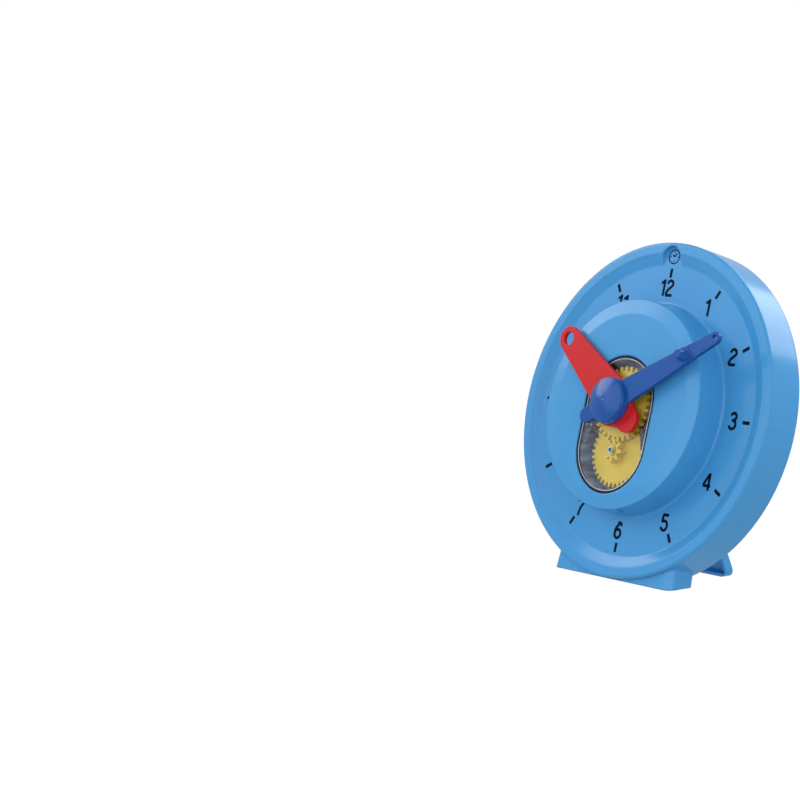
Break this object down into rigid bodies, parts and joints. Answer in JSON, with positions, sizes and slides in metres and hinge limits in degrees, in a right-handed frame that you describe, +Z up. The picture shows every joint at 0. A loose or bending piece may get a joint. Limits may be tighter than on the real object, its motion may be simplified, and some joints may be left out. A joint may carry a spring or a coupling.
{
  "type": "geared teaching clock",
  "caption": "Round tabletop teaching clock: leaning dial with a raised drum, a window onto meshed gears that tie the hour hand to the minute hand, a front foot and a folding rear stand.",
  "frame": {"origin": "centre of the front foot's sole, on the surface the clock stands on", "axes": "+X to the right as seen from the front, +Y from the dial towards the rear stand, +Z up"},
  "size_m": [0.14, 0.0565, 0.1359],
  "materials": {
    "body_blue": "satin blue moulded plastic",
    "hand_blue": "darker blue moulded plastic, smooth",
    "hand_red": "red moulded plastic, smooth",
    "gear_yellow": "straw yellow moulded plastic",
    "clear_pane": "clear moulded plastic, polished",
    "case_plate": "pale blue moulded plastic",
    "steel": "bright steel"
  },
  "bodies": {
    "clock": {"front_shell": "body_blue", "rear_cover": "body_blue", "gear_case_front": "clear_pane", "gear_case_back": "case_plate", "gear_case_screws": "steel", "case_mount_screws": "steel", "cover_screws": "steel", "compound_axle": "steel", "stand_pin": "steel"},
    "minute": {"minute_hand": "hand_blue", "minute_arbor": "steel", "minute_pinion": "gear_yellow", "hub_cap": "hand_blue", "hub_screw": "steel", "hub_washer": "steel", "arbor_washer": "steel", "arbor_clip": "steel"},
    "compound": {"compound_gear": "gear_yellow"},
    "hour": {"hour_hand": "hand_red", "hour_wheel": "gear_yellow"},
    "stand": {"rear_stand": "body_blue"}
  },
  "joints": [
    {"name": "minute_turn", "type": "hinge", "parent": "clock", "child": "minute", "pos_m": [0, 0.01196, 0.068], "axis": [0, 0.9659, -0.2588], "continuous": true},
    {"name": "compound_turn", "type": "hinge", "parent": "clock", "child": "compound", "pos_m": [0, 0.00699, 0.04945], "axis": [0, 0.9659, -0.2588], "continuous": true},
    {"name": "hour_turn", "type": "hinge", "parent": "clock", "child": "hour", "pos_m": [0, 0.01196, 0.068], "axis": [0, 0.9659, -0.2588], "continuous": true},
    {"name": "stand_fold", "type": "hinge", "parent": "clock", "child": "stand", "pos_m": [0, 0.0265, 0.05582], "axis": [-1, 0, 0], "range_deg": [0, 23.5]}
  ],
  "couplings": [
    {"joint": "compound_turn", "follows": "minute_turn", "ratio": -0.33333},
    {"joint": "hour_turn", "follows": "minute_turn", "ratio": 0.083333}
  ]
}
